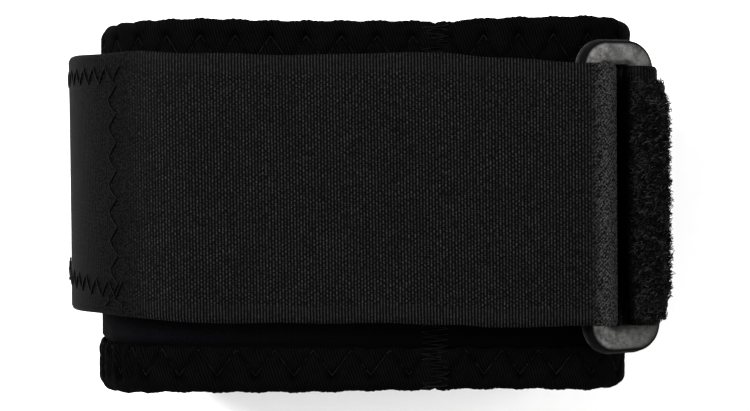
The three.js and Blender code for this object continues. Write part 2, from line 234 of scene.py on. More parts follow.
def ring_bars():
    """The bars' middles. The left one is as high as lets the strap pass under it. The right one
    is where a circle round the left bar meets a circle round the bend that carries it."""
    left_x = FRONT_RIGHT[0] + RING_OVERHANG
    over_front = FRONT[2] + INNER_LAYER + BAR_WRAP + SEAT_GAP
    left = np.array([left_x, FRONT[1] + np.sqrt(over_front ** 2 - (left_x - FRONT[0]) ** 2)])
    over_bend = FRONT_RIGHT[2] + INNER_LAYER + BAR_WRAP + SEAT_GAP
    apart = np.hypot(*(left - FRONT_RIGHT[:2]))
    spacing = RING_WIDTH - RING_BAR
    inside = np.arccos((apart ** 2 + over_bend ** 2 - spacing ** 2) / (2 * apart * over_bend))
    angle = np.arctan2(left[1] - FRONT_RIGHT[1], left[0] - FRONT_RIGHT[0]) - inside
    return left, FRONT_RIGHT[:2] + over_bend * np.array([np.cos(angle), np.sin(angle)])


# The photograph shows the right bar a little further out than the model has it, and the loop
# tight round it.
BAR_SHIFT = np.array([0.95, 0.25])
LOOP_BAR_GAP = 0.1
LEFT_BAR, RIGHT_BAR = ring_bars()
RIGHT_BAR = RIGHT_BAR + BAR_SHIFT
LOOP_WRAP = RING_BAR / 2 + TAPE / 2 + LOOP_BAR_GAP


def wheel(bend, out, turn):
    """A bend's wheel for a layer that lies out beyond it."""
    return (bend[0], bend[1], bend[2] + out, turn)


def bar_wheel(bar):
    """The wheel that a tape makes round one of the ring's bars."""
    return (bar[0], bar[1], BAR_WRAP, LEFTWARD)


sleeve_path = belt([wheel(bend, 0, LEFTWARD) for bend in
                    (BACK_RIGHT, FRONT_RIGHT, FRONT, FRONT_LEFT, BACK_LEFT)], closed=True)
strap_path = belt([(BACK_JOIN, TAPE / 2, 0, LEFTWARD), wheel(BACK_LEFT, INNER_LAYER, RIGHTWARD),
                   wheel(FRONT_LEFT, INNER_LAYER, RIGHTWARD), wheel(FRONT, INNER_LAYER, RIGHTWARD),
                   bar_wheel(LEFT_BAR), wheel(FRONT_LEFT, PATCHED_LAYER, LEFTWARD),
                   wheel(BACK_LEFT, PATCHED_LAYER, LEFTWARD)], end=np.radians(STRAP_END))
loop_path = belt([(BACK_JOIN + BACK_JOIN_SPACE, TAPE / 2, 0, LEFTWARD),
                  wheel(BACK_RIGHT, INNER_LAYER, LEFTWARD),
                  wheel(FRONT_RIGHT, OUTER_LAYER, LEFTWARD), (*RIGHT_BAR, LOOP_WRAP, LEFTWARD),
                  wheel(FRONT_RIGHT, INNER_LAYER, RIGHTWARD)], end=np.radians(-90))
patch_path = belt([wheel(FRONT_LEFT, PATCH_LAYER, LEFTWARD), wheel(BACK_LEFT, PATCH_LAYER, LEFTWARD)],
                  start=np.radians(PATCH_START), end=np.radians(STRAP_END - PATCH_MARGIN))
for title, path in (("sleeve", sleeve_path), ("strap", strap_path), ("ring loop", loop_path)):
    print(f"{title} path: {path['length']:.1f} mm")

# %% [markdown]
# ## Meshes from arrays
# Each surface is a grid of points worked out in one go, and its faces follow from the grid's
# numbering. The sign of the volume that the faces enclose tells whether they point outwards.

# %% Grid surfaces and strands


def build_mesh(name, points, faces, finish, attributes=None, sharp=40.0):
    """Puts points and faces, a list of arrays with 3, 4 or more corners each, into a mesh that
    rides on the only body. The volume is the sum of a . (b x c) over a fan of each face; if it
    is negative, every face is turned round."""
    points = (np.asarray(points, float).reshape(-1, 3) + SHIFT) * METRE
    volume = 0.0
    for group in faces:
        for corner in range(1, group.shape[1] - 1):
            a, b, c = (points[group[:, k]] for k in (0, corner, corner + 1))
            volume += np.einsum("ij,ij->", a, np.cross(b, c))
    if volume < 0:
        faces = [group[:, ::-1] for group in faces]
    corners = np.concatenate([group.ravel() for group in faces])
    totals = np.concatenate([np.full(len(group), group.shape[1]) for group in faces])
    mesh = bpy.data.meshes.new(name)
    mesh.vertices.add(len(points))
    mesh.vertices.foreach_set("co", points.astype(np.float32).ravel())
    mesh.loops.add(len(corners))
    mesh.loops.foreach_set("vertex_index", corners.astype(np.int32))
    mesh.polygons.add(len(totals))
    mesh.polygons.foreach_set("loop_start", (np.cumsum(totals) - totals).astype(np.int32))
    mesh.polygons.foreach_set("loop_total", totals.astype(np.int32))
    mesh.polygons.foreach_set("use_smooth", np.ones(len(totals), bool))
    mesh.update(calc_edges=True)
    mesh.set_sharp_from_angle(angle=np.radians(sharp))
    for key, values in (attributes or {}).items():
        layer = mesh.attributes.new(key, "FLOAT", "POINT")
        layer.data.foreach_set("value", np.asarray(values, np.float32).ravel())
    piece = bpy.data.objects.new(name, mesh)
    bpy.context.scene.collection.objects.link(piece)
    mesh.materials.append(finish)
    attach(piece, "root")
    print(f"{name}: {int((totals - 2).sum())} triangles")
    return piece


def ring_faces(rings, corners, closed):
    """The faces of rings of points: quads between each ring and the next. An open body's ends
    are strips of quads between its upper row and the lower row, which runs back."""
    ring = np.arange(rings if closed else rings - 1)[:, None]
    corner = np.arange(corners)[None, :]
    here, after = ring * corners, (ring + 1) % rings * corners
    following = (corner + 1) % corners
    sides = np.stack([here + corner, here + following, after + following, after + corner], -1)
    faces = [sides.reshape(-1, 4)]
    if not closed:
        strip = np.arange(corners // 2 - 1)
        cap = np.stack([strip + 1, strip, corners - 1 - strip, corners - 2 - strip], 1)
        faces += [cap, cap[:, ::-1] + (rings - 1) * corners]
    return faces


def shell(name, path, along, across, upper, lower, side, finish, closed=False,
          placing=place_tape, ribbed=None, dent=None):
    """A sheet with two faces, carried along a path. across holds the places over its width, and
    upper and lower how far each face stands out there. placing says how such a sheet lies. The
    marks tell the finish where a point is: on a tape, how ribbed it is there and on which face,
    and on the sleeve, how deep in a crevice, where the finish paints shade."""
    across, upper, lower = np.broadcast_arrays(across, upper, lower)
    across = np.concatenate([across, across[:, ::-1]], 1)
    out = np.concatenate([upper, lower[:, ::-1]], 1)
    along = np.broadcast_to(along[:, None], across.shape)
    points = placing(path, along, across, out, side)
    marks = {"along": along, "across": across}
    if dent is not None:
        marks["dent"] = np.concatenate([dent, dent[:, ::-1]], 1)
    if ribbed is not None:
        marks["ribbed"] = np.broadcast_to(ribbed[:, None], across.shape)
        marks["pile"] = np.broadcast_to(np.arange(across.shape[1]) < across.shape[1] // 2, across.shape)
    return build_mesh(name, points, ring_faces(*across.shape, closed), finish, marks)


UPWARD = (0.1, 0.3, 1.0)


def strands(name, centres, radius, sides, finish, taper=None):
    """Many thin round strands at once. Each ring of a strand is its centre plus the radius times
    the cosine and sine of even angles, in the plane at right angles to the strand. No strand runs
    exactly UPWARD, so the cross product with it gives that plane's first direction."""
    count, steps = centres.shape[:2]
    tangent = np.gradient(centres, axis=1)
    tangent /= np.linalg.norm(tangent, axis=2, keepdims=True) + 1e-12
    first = np.cross(tangent, np.broadcast_to(UPWARD, centres.shape))
    first /= np.linalg.norm(first, axis=2, keepdims=True) + 1e-12
    second = np.cross(first, tangent)
    angle = 2 * np.pi * np.arange(sides) / sides
    thick = radius * (np.ones(steps) if taper is None else taper)[None, :, None, None]
    points = centres[:, :, None] + thick * (first[:, :, None] * np.cos(angle)[:, None]
                                            + second[:, :, None] * np.sin(angle)[:, None])
    corner = np.arange(sides)
    ring = (np.arange(count)[:, None, None] * steps + np.arange(steps - 1)[:, None]) * sides
    quads = np.stack([ring + corner, ring + (corner + 1) % sides,
                      ring + sides + (corner + 1) % sides, ring + sides + corner], -1)
    starts = np.arange(count)[:, None] * steps * sides + corner[::-1]
    ends = (np.arange(count)[:, None] * steps + steps - 1) * sides + corner
    return build_mesh(name, points, [quads.reshape(-1, 4), starts, ends], finish,
                      {"strand": np.repeat(np.arange(count) % 97 / 97, steps * sides)}, sharp=89)


# %% [markdown]
# ## Shader maths as plain expressions
# A finish is a formula over the surface: ribs are a wave of the distance along the tape, wear is
# noise where the edges are. One small class wraps a socket, so the formulas read like Python.

# %% Fields and finishes


class Field:
    """A number that varies over a surface. Arithmetic on it adds Math nodes."""

    def __init__(self, finish, socket):
        self.finish, self.socket = finish, socket

    def maths(self, operation, *values):
        return self.finish.node("ShaderNodeMath", {"operation": operation}, dict(enumerate(values)))

    def __add__(self, other): return self.maths("ADD", self, other)
    def __radd__(self, other): return self.maths("ADD", other, self)
    def __sub__(self, other): return self.maths("SUBTRACT", self, other)
    def __rsub__(self, other): return self.maths("SUBTRACT", other, self)
    def __mul__(self, other): return self.maths("MULTIPLY", self, other)
    def __rmul__(self, other): return self.maths("MULTIPLY", other, self)
    def __truediv__(self, other): return self.maths("DIVIDE", self, other)
    def __pow__(self, other): return self.maths("POWER", self, other)
    def floor(self): return self.maths("FLOOR", self)
    def fraction(self): return self.maths("FRACT", self)
    def size(self): return self.maths("ABSOLUTE", self)
    def sine(self): return self.maths("SINE", self)

    def wave(self, length):
        """From 0 to 1 and back over each length: half a sine plus a half."""
        return (self * (2 * np.pi / length)).sine() * 0.5 + 0.5

    def step(self, low, high):
        """0 below low and 1 above high, eased between."""
        return self.finish.node("ShaderNodeMapRange", {"interpolation_type": "SMOOTHSTEP"},
                                {"Value": self, "From Min": low, "From Max": high})


class Finish:
    """A material on one Principled shader. Even values sit on the shader's own sockets."""

    def __init__(self, name, **even):
        self.material = bpy.data.materials.new(name)
        self.material.use_nodes = True
        self.nodes = self.material.node_tree.nodes
        self.links = self.material.node_tree.links
        self.shader = self.nodes["Principled BSDF"]
        for socket, value in even.items():
            self.shader.inputs[socket.replace("_", " ")].default_value = value

    def node(self, kind, settings=None, values=None, output=0):
        """Adds one node: its settings first, then the values or links of its sockets."""
        made = self.nodes.new(kind)
        for key, value in (settings or {}).items():
            setattr(made, key, value)
        for key, value in (values or {}).items():
            if isinstance(value, Field):
                self.links.new(value.socket, made.inputs[key])
            else:
                made.inputs[key].default_value = value
        return Field(self, made.outputs[output])

    def mark(self, name):
        """A number stored on the mesh's points."""
        return self.node("ShaderNodeAttribute", {"attribute_name": name}, output="Fac")

    def place(self):
        """The place on the object, in metres."""
        return self.node("ShaderNodeTexCoord", output="Object")

    def place_on(self, axis):
        """The place along X, Y or Z alone, in metres."""
        return self.node("ShaderNodeSeparateXYZ", {}, {0: self.place()}, axis)

    def noise(self, size_mm, detail=3.0, vector=None, roughness=0.55):
        """Noise from 0 to 1 whose blobs are about size_mm across."""
        values = {"Vector": vector or self.place(), "Scale": 1 / (size_mm * METRE),
                  "Detail": detail, "Roughness": roughness}
        return self.node("ShaderNodeTexNoise", {}, values, "Fac")

    def blend(self, share, dark, light):
        """A colour between two, each given as red, green and blue. On this node the colours' own
        sockets are numbers 6 and 7, and the mixed colour is output 2."""
        values = {0: share, 6: (*dark, 1.0), 7: (*light, 1.0)}
        return self.node("ShaderNodeMix", {"data_type": "RGBA"}, values, 2)

    def varies(self, socket, field):
        """Lets a field drive one socket of the shader."""
        self.links.new(field.socket, self.shader.inputs[socket])

    def relief(self, height, distance_mm, strength=1.0):
        """Small bumps: height is from 0 to 1 and stands distance_mm tall."""
        values = {"Height": height, "Distance": distance_mm * METRE, "Strength": strength}
        self.varies("Normal", self.node("ShaderNodeBump", {}, values))


# %% [markdown]
# ## The finishes
# The jersey is a fine smooth knit. The binding shows slanting ribs. The tape's backing has a rib
# every 0.58 mm across its width, and in its middle field each rib is broken into short bright
# floats, staggered like bricks, while its woven edges stay plain.

# %% Jersey, binding knit and tape
RIB = 0.58
FLOAT_LENGTH = 0.83
TAPE_FIELD = TAPE_WIDTH / 2 - TAPE_EDGE
FOLD = strap_path["along"][strap_path["x"].argmax()]


def jersey_finish():
    """Fine columns of stitches, which are waves along and across, with cloudy wear and lint. Painted
    shade darkens the cloth from the sleeve's left part towards the ring, where the strap shades it,
    and in the crevice at each binding's edge."""
    cloth = Finish("black_jersey", Roughness=0.85, Specular_IOR_Level=0.01)
    along, across = cloth.mark("along"), cloth.mark("across")
    columns = along.wave(0.55)
    stitches = (across + columns * 0.12).wave(0.46)
    lint = cloth.noise(0.5, 4.0).step(0.66, 0.8)
    shade = cloth.noise(6.0) * 0.3 + (cloth.noise(0.34, 2.0) - 0.27) * 1.1 + columns * stitches * 0.3
    # Painted shade: the cloth darkens towards the ring, where the strap shades it, and in the crevices at
    # the bindings' edges.
    painted_strap_shade = cloth.place_on("X").step(-0.035, 0.02)
    shade = (shade + lint * 0.3 - 0.1) * (1 - cloth.mark("dent") * 0.95) * (1 - painted_strap_shade * 0.85)
    cloth.varies("Base Color", cloth.blend(shade, (0.0002, 0.0002, 0.0003), (0.0028, 0.0028, 0.0035)))
    cloth.relief(columns * 0.5 + stitches * 0.5, 0.05, 0.6)
    return cloth.material


def binding_finish():
    """Ribs that slant and wander, crossed by rows of loops, and darkened by painted shade where a stitch
    pulls in.
    """
    cloth = Finish("ribbed_binding", Roughness=0.85, Specular_IOR_Level=0.004)
    along, across = cloth.mark("along"), cloth.mark("across")
    bend = cloth.noise(4.0, 2.0) * 1.2
    slant = (along + across * 0.34 + bend * 0.6).wave(0.56)
    loops = (across - along * 0.2).wave(0.5)
    shade = slant * 0.55 + loops * 0.12 + cloth.noise(3.0) * 0.5 + cloth.noise(0.5) * 0.3 - 0.35
    # Painted shade: the knit darkens in the dents and dimples that the stitches pull in.
    shade = shade * (1 - cloth.mark("dent") * 0.8)
    cloth.varies("Base Color", cloth.blend(shade, (0.0001, 0.0001, 0.0001), (0.0023, 0.0021, 0.0022)))
    cloth.relief(slant * 0.7 + loops * 0.3, 0.1, 0.9)
    return cloth.material


def tape_finish():
    """Ribs where the tape lies flat; at its turns the ribs open, and the ground's fine slanting
    threads show instead, brightest over the ring's bar by a painted highlight and darkened by
    painted shade at the strap's far left. The pile's side is dark and cloudy between its two plain edges."""
    cloth = Finish("ribbed_tape", Roughness=0.6, Specular_IOR_Level=0.015)
    along, across, ribbed, pile = (cloth.mark(name) for name in ("along", "across", "ribbed", "pile"))
    warp = cloth.noise(2.5, 2.0)
    count = along / RIB + (warp - 0.5) * 0.3
    rib = 1 - ((count.fraction() - 0.5) * 2).size() ** 1.1
    paired = (count * (np.pi / 2)).sine().size()
    brick = (across / FLOAT_LENGTH + count.floor() * 0.5 + (warp - 0.5) * 0.9).fraction()
    floats = 1 - ((brick - 0.5) * 2).size().step(0.4, 1.0)
    field = 1 - across.size().step(TAPE_FIELD - 0.6, TAPE_FIELD + 0.4)
    specks = cloth.noise(0.36, 2.0).step(0.4, 0.6)
    ribs = rib * (1 - field * (1 - floats) * 0.38 - field * (1 - specks) * 0.36) * (0.88 + paired * 0.12)
    ribs = (ribs * (0.3 + cloth.noise(0.38, 2.0) * 1.4) * (0.76 + field * 0.24)) ** 3.5
    slant = (along + across * 0.75).wave(0.62)
    cross = (along - across * 0.75).wave(0.5)
    ground = (0.08 + slant * 0.6 + cross * 0.4) * (cloth.noise(0.38, 2.0).step(0.38, 0.62) * 1.2 + 0.04)
    # Painted highlight: the ground is much lighter over the ring's bar, where the fold catches the light.
    fold_highlight = 1 - (along - FOLD).size().step(3.0, 7.0)
    # Painted shade: the ground is half as light at the strap's far left, at the outside of the bend.
    turned = cloth.place_on("X").step(-0.06, -0.05) * 0.5 + 0.5
    thread = ribs * 1.05 * ribbed + ground * (turned * 0.1 + fold_highlight * 1.45) * (1 - ribbed)
    matted = (cloth.noise(0.6, 3.0) - 0.35) * 0.5
    tone = thread * (0.75 + cloth.noise(9.0) * 0.5) * (1 - pile * (0.65 + field * 0.35))
    tone = tone + matted * 0.5 * pile * field
    cloth.varies("Base Color", cloth.blend(tone, (0.0001, 0.0001, 0.0001), (0.033, 0.032, 0.0334)))
    cloth.relief(thread * (1 - pile) + matted * pile * 2, 0.16, 0.9)
    return cloth.material


JERSEY, BINDING, BACKING = jersey_finish(), binding_finish(), tape_finish()
print("cloth finishes:", JERSEY.name, BINDING.name, BACKING.name)

# %% Pile, threads, hooks and plastic


def pile_finish(name, dark, light):
    """Matted fibres: a few strands are light, by a high power of their own number, and noise
    gathers them into tufts. Their light is partly the fibres' own lighter colour and partly a
    painted highlight for the glints on the curls."""
    fibre = Finish(name, Roughness=0.6, Specular_IOR_Level=0.04)
    # Painted highlight in part: the light strands stand in for the glints on the pile's curls.
    shade = fibre.mark("strand") ** 8 * 1.6 + fibre.noise(1.1, 3.0) * 0.9 - 0.47
    fibre.varies("Base Color", fibre.blend(shade, dark, light))
    fibre.relief(fibre.noise(0.25, 2.0), 0.12, 0.7)
    return fibre.material


def thread_finish(name, dark, light):
    """Thread: fine noise for its plies, and longer patches of painted light and shade, lighter where it
    lies proud and darker where it sinks in.
    """
    thread = Finish(name, Roughness=0.6, Specular_IOR_Level=0.03)
    ply = thread.noise(0.3, 2.0)
    # Painted light and shade: random patches stand for the thread lying proud in the light and sinking
    # into shade.
    tone_with_painted_shade = thread.noise(2.2, 2.0).step(0.44, 0.62)
    thread.varies("Base Color", thread.blend((ply * 0.8 + 0.2) * (0.12 + tone_with_painted_shade * 0.88), dark, light))
    thread.relief(ply, 0.05, 0.6)
    return thread.material


def plastic_finish():
    """Worn moulded plastic: a cloudy grey face with fine scratches. Painted shade darkens its outer
    sides and rounded corners, and the face towards the right and the lower end; the lip under the
    parting line is darkened less, a painted highlight.
    """
    plastic = Finish("worn_plastic_painted_shade", Specular_IOR_Level=0.03)
    edge, side = plastic.mark("edge"), plastic.mark("side")
    clouds = plastic.noise(1.7, 6.0, roughness=0.72)
    grain = plastic.noise(0.35, 3.0)
    stretched = plastic.node("ShaderNodeMapping", {}, {
        "Vector": plastic.place(), "Rotation": (0.0, 0.0, 0.5), "Scale": (1.0, 9.0, 1.0)})
    scratches = plastic.noise(1.8, 6.0, stretched, 0.7).step(0.6, 0.66)
    # Painted reflection and shade: the face is lighter on its left and upper part and darker towards the
    # right, more so on the lower end.
    lower = 1 - plastic.place_on("Y").step(-0.02, 0.02)
    painted_ring_shade = (1 - plastic.place_on("X").step(0.043, 0.055) * (0.5 + lower * 0.3)) * (1 - lower * 0.1)
    cloudy = clouds.step(0.36, 0.66) * 0.5 + plastic.noise(7.0, 2.0).step(0.3, 0.7) * 0.3
    # Painted shade: the rounded corners are darkened and the outer sides go to black, the lip less.
    tone_with_painted_shade = (cloudy * painted_ring_shade + scratches * 0.2 + grain * 0.3 - 0.05) * (1 - edge * 0.6) * (1 - side)
    plastic.varies("Base Color", plastic.blend(tone_with_painted_shade, (0.0006, 0.0006, 0.0007), (0.156, 0.154, 0.151)))
    plastic.varies("Roughness", 0.55 + side * 0.3 - grain * 0.1)
    plastic.relief(clouds * 0.5 + grain * 0.5 - scratches * 0.4, 0.06, 0.6)
    return plastic.material


PILE = pile_finish("loop_pile", (0.0002, 0.0002, 0.0002), (0.0185, 0.0163, 0.0178))
HOOKS = thread_finish("hook_tape", (0.002, 0.002, 0.002), (0.008, 0.008, 0.009))
BLACK_THREAD = thread_finish("black_thread", (0.0002, 0.0002, 0.0002), (0.0009, 0.0009, 0.0009))
GREY_THREAD = thread_finish("grey_thread", (0.0004, 0.0004, 0.0006), (0.0047, 0.0047, 0.0051))
SEAM_THREAD = thread_finish("seam_thread", (0.0002, 0.0002, 0.0002), (0.0028, 0.0028, 0.003))
PLASTIC = plastic_finish()
print("hard and hairy finishes:", PILE.name, GREY_THREAD.name, PLASTIC.name)

# %% [markdown]
# ## Stitches that pull the cloth
# A zigzag stitch is a triangle wave along the cloth. Where it runs, the thread sinks in and the
# cloth swells between. The same wave gives the thread's route and the dents under it.

# %% Zigzags and their dents


def zigzag(along, pitch, low, high):
    """A triangle wave from low to high and back over each pitch."""
    share = np.abs(np.mod(along / pitch, 1) * 2 - 1)
    return low + (high - low) * share


def stitch_dent(along, across, pitch, low, high, width):
    """How near a point is to the zigzag: 1 on it, falling like a bell over width. The gap across
    is made square to the thread by the slope of the wave."""
    slope = (high - low) / (pitch / 2)
    gap = (across - zigzag(along, pitch, low, high)) / np.hypot(1, slope)
    return np.exp(-(gap / width) ** 2)


def zigzag_points(length, pitch, low, high, steps=9):
    """Places of a zigzag thread, one strand for each straight stitch: along, across and a hump
    that is 0 at the needle holes and 1 halfway."""
    stitches = int(length / (pitch / 2))
    share = np.linspace(0, 1, steps)[None, :]
    along = (np.arange(stitches)[:, None] + share) * pitch / 2
    across = zigzag(along, pitch, low, high)
    return along, across, np.broadcast_to(np.sin(np.pi * share) ** 0.6, along.shape)


# Each rim has a sign, 1 for the upper and -1 for the lower one, a wave and a number of zigzags.
RIMS = (("upper", 1, UPPER_WAVE), ("lower", -1, LOWER_WAVE))
ZIGZAGS = {1: 41, -1: 38}
STITCH_PITCH = {sign: sleeve_path["length"] / count for sign, count in ZIGZAGS.items()}
STITCH_NEAR, STITCH_FAR, DENT_WIDTH = 27.0, 31.6, 0.42
SEAM_X = 13.8


def rim_wave(path, along, wave):
    """How far a rim stands out: the front of the sleeve waves, where the path heads left, and the
    wave fades down both sides."""
    x, heading = (np.interp(along, path["along"], path[key]) for key in ("x", "heading"))
    return ease(-np.cos(heading), -0.5, 0.6) * smooth_table(x / TABLE_WIDTH, WAVE_AT, wave)


def seam_along():
    """The distance along the sleeve's path where the flat seam crosses the front."""
    front = np.cos(sleeve_path["heading"]) < 0
    nearest = np.where(front, np.abs(sleeve_path["x"] - SEAM_X), 1e9).argmin()
    return sleeve_path["along"][nearest]


SEAM = seam_along()
print(f"{2 * ZIGZAGS[1]} and {2 * ZIGZAGS[-1]} stitches round the rims")
print(f"the flat seam is at {SEAM:.1f} mm of the girth")

# %% [markdown]
# ## The sleeve
# The foam is a tube. Its faces swell softly, sink a little at the flat seam on the front, and thin
# where the bindings grip them.

# %% The foam sleeve


def make_sleeve():
    """The rows across are even and follow the rims' waves. Out is about 0 on the outer face and
    minus the wall inside, and both close in on the pressed wall under the bindings."""
    along = np.linspace(0, sleeve_path["length"], 286)[:-1]
    shares = np.linspace(-1, 1, 53)
    upper = rim_wave(sleeve_path, along, UPPER_WAVE)[:, None]
    lower = rim_wave(sleeve_path, along, LOWER_WAVE)[:, None]
    across = FOAM_EDGE * shares + np.where(shares > 0, upper * shares, lower * shares)
    grip = SLEEVE_HEIGHT / 2 - BINDING_WIDTH
    pressed = ease(np.abs(across), grip - 1.0, grip) * (FOAM_WALL - PRESSED_WALL) / 2
    pucker = ease(np.abs(across), grip - 6, grip) * np.sin(along[:, None] * 2 * np.pi / STITCH_PITCH[1])
    swell = 0.14 * np.sin(along[:, None] / 9) * np.sin(across / 7 + along[:, None] / 23)
    seam = 0.35 * np.exp(-((along[:, None] - SEAM) / 1.1) ** 2)
    face = -0.15 - pressed + swell * 0.6 + 0.1 * pucker - seam
    inside = -FOAM_WALL + pressed + swell * 0.4 + seam
    full = LEFT_BULGE * ease(-np.interp(along, sleeve_path["along"], sleeve_path["x"]), 36, 50)
    face = face + full[:, None] * (1 - ease(np.abs(across), grip - 1.0, grip))
    # Painted shade: the jersey's colour darkens by this in the crevice at each binding's edge.
    crevice = np.exp(-((np.abs(across) - grip + 0.2) / 0.7) ** 2)
    piece = shell("sleeve_foam", sleeve_path, along, across, face, inside, RIGHTWARD, JERSEY,
                  closed=True, placing=place_sleeve, dent=crevice)
    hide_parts("neoprene_sleeve")


make_sleeve()

# %% [markdown]
# ## The bindings
# A binding is one long knitted strip, folded round the rim. Its section is a U: flat, round the
# rim and flat again. The wide zigzag through both flats dents it, and the cloth swells between
# the stitches, more at the needle holes, which makes the puckered edge.

# %% The two bindings


def binding_section(count):
    """Places on the U that run from the outer flat's edge round the nose to the inner flat's
    edge, as distance in from the rim and height over the middle. The sine and cosine that come
    with them say how far each place faces out past the rim, and how far up."""
    radius = BINDING_OUT
    flat = BINDING_WIDTH - radius
    total = 2 * flat + np.pi * radius
    run = np.linspace(0, total, count)
    angle = np.clip((run - flat) / radius, 0, np.pi)
    inward = np.where(run < flat, BINDING_WIDTH - run,
                      np.where(run > total - flat, radius + run - (total - flat),
                               radius - radius * np.sin(angle)))
    height = radius * np.cos(angle)
    return inward, height, np.sin(angle), np.cos(angle)


def binding_relief(along, across, inward, nose, gathered, pitch):
    """How far the cloth stands out from its even section, and how deep it is dented. Between
    stitches it swells; on a stitch, at a needle hole and at the flat seam's middle it sinks."""
    dents = stitch_dent(along, across, pitch, STITCH_NEAR, STITCH_FAR, DENT_WIDTH) * (1 - nose)
    share = np.mod(along / pitch, 1)
    to_hole = np.minimum(share, 1 - share) * pitch
    dimple = np.exp(-(to_hole / 1.0) ** 2 - ((across - STITCH_FAR) / 0.9) ** 2) * (1 - nose)
    edge = 1 - ease(BINDING_WIDTH - inward, 0, 1.2)
    radiating = 0.09 * np.sin(along * 2 * np.pi / 1.2) * np.exp(-(to_hole / 2.4) ** 2) * (1 - edge)
    folds = 0.6 * gathered * np.sin(along * 2 * np.pi / 3.6) * ease(inward, 1.0, 4.0)
    swell = 0.1 * (1 - edge) + 0.12 * nose * np.cos(along * 2 * np.pi / pitch)
    wrinkle = 0.04 * np.sin(along * 2 * np.pi / 2.9 + inward) * ease(nose, 0.0, 0.7)
    seam = 0.22 * np.exp(-((along - SEAM) / 2.6) ** 2) - 0.35 * np.exp(-((along - SEAM) / 0.5) ** 2)
    stands = swell + wrinkle + radiating + folds + seam
    sunk = np.clip(np.maximum(dents * 0.7, dimple * 1.2), 0, 1)
    return stands - 0.3 * dents - 0.4 * dimple - 0.3 * edge, sunk


def make_binding(name, sign, wave):
    """The outer face follows the U with its relief; the inner face is the even U, a wall's
    thickness under it."""
    wall, middle, pitch = 0.55, -FOAM_WALL / 2, STITCH_PITCH[sign]
    along = np.linspace(0, sleeve_path["length"], 609)[:-1][:, None]
    inward, height, nose, up = binding_section(40)
    across = SLEEVE_HEIGHT / 2 - inward
    x, heading = (np.interp(along, sleeve_path["along"], sleeve_path[key]) for key in ("x", "heading"))
    gathered = np.exp(-((x + 45) / 5.0) ** 2) * (np.cos(heading) < 0) * (sign < 0)
    puff, sunk = binding_relief(along, across, inward, nose, gathered, pitch)
    swing = rim_wave(sleeve_path, along, wave)
    rim = SLEEVE_HEIGHT / 2 + swing * (1 - inward / BINDING_WIDTH)
    scallop = 0.2 * np.cos(along * 2 * np.pi / pitch) * (1 - ease(BINDING_WIDTH - inward, 0, 1.2))
    outer_across = rim - inward + nose * puff + scallop
    inner_across = rim - inward - nose * wall + scallop
    outer_out = height + up * puff
    inner_out = np.broadcast_to(height - up * wall, outer_out.shape)
    across = np.concatenate([outer_across, inner_across[:, ::-1]], 1)
    out = middle + np.concatenate([outer_out, inner_out[:, ::-1]], 1)
    along = np.broadcast_to(along, out.shape)
    points = place_sleeve(sleeve_path, along, sign * across, out, RIGHTWARD)
    # The dent mark darkens the knit there: painted shade in the stitches' dents.
    marks = {"along": along, "across": -sign * across, "dent": np.concatenate([sunk, sunk[:, ::-1]], 1)}
    return build_mesh(name, points, ring_faces(*out.shape, True), BINDING, marks)


for name, sign, wave in RIMS:
    binding = make_binding(f"{name}_rim_binding", sign, wave)
    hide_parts(f"{name}_binding")

# %% [markdown]
# The thread itself is grey, lighter than the knit. It shows on both sides of the cloth, so each
# zigzag is made twice: once on the outer flat and once on the inner one.

# %% The bindings' thread


def make_binding_thread(name, sign, wave):
    """The zigzag follows the rim's wave, in full at the rim and not at all at the binding's edge.
    Each stitch is sunk by a depth of its own and rises by the hump in its middle."""
    along, across, hump = zigzag_points(sleeve_path["length"], STITCH_PITCH[sign], STITCH_NEAR, STITCH_FAR)
    from_edge = (across - SLEEVE_HEIGHT / 2) / BINDING_WIDTH + 1
    across = across + rim_wave(sleeve_path, along, wave) * from_edge
    depth = np.random.default_rng(5).uniform(0.3, 0.42, (len(along), 1))
    outside = -FOAM_WALL / 2 + BINDING_OUT - depth + 0.12 * hump
    inside = -FOAM_WALL / 2 - BINDING_OUT + depth - 0.12 * hump
    centres = np.concatenate([place_sleeve(sleeve_path, along, sign * across, out, RIGHTWARD)
                              for out in (outside, inside)])
    return strands(name, centres, 0.1, 6, GREY_THREAD)


for name, sign, wave in RIMS:
    make_binding_thread(f"{name}_rim_thread", sign, wave)

# %% [markdown]
# ## The flat seam
# The sleeve's two ends meet edge to edge on the front. A wide flat zigzag joins them, and it runs
# over the bindings too, from rim to rim, so it stands a little higher there.

# %% The flat seam's thread


def make_flat_seam():
    """The same zigzag, turned so that it runs from rim to rim and its points lie a reach to the
    left and right of the seam, with every stitch a little astray in its middle."""
    pitch, reach = 1.05, 2.5
    edge = SLEEVE_HEIGHT / 2 - 0.6
    across, along, hump = zigzag_points(2 * edge, pitch, -reach, reach, steps=7)
    random = np.random.default_rng(11)
    along = along + random.normal(0, 0.45, (len(along), 1)) * hump
    across = across - edge + random.normal(0, 0.25, (len(along), 1)) * hump
    on_binding = ease(np.abs(across), STITCH_NEAR - 0.6, STITCH_NEAR + 0.4)
    proud = 0.02 + on_binding * (BINDING_OUT - FOAM_WALL / 2) + 0.16 * hump
    centres = np.concatenate([place_sleeve(sleeve_path, SEAM + along, across, out, RIGHTWARD)
                              for out in (proud, -FOAM_WALL - proud)])
    return strands("flat_seam_thread", centres, 0.13, 6, SEAM_THREAD)


make_flat_seam()

# %% [markdown]
# ## The strap
# One length of loop tape. Its backing is ribbed across the width; its pile faces the other way.
# The ribs are real relief where the tape shows, over the ring's bar and the front, so that part
# has a row of points for every quarter of a rib.

# %% The strap's tape
print(f"the strap turns round the bar at {FOLD:.1f} of {strap_path['length']:.1f} mm")


def tape_rows(count):
    """Places across the tape, closer together at its edges: half the width times the sine of an
    even angle."""
    return TAPE_WIDTH / 2 * np.sin(np.linspace(-np.pi / 2, np.pi / 2, count))


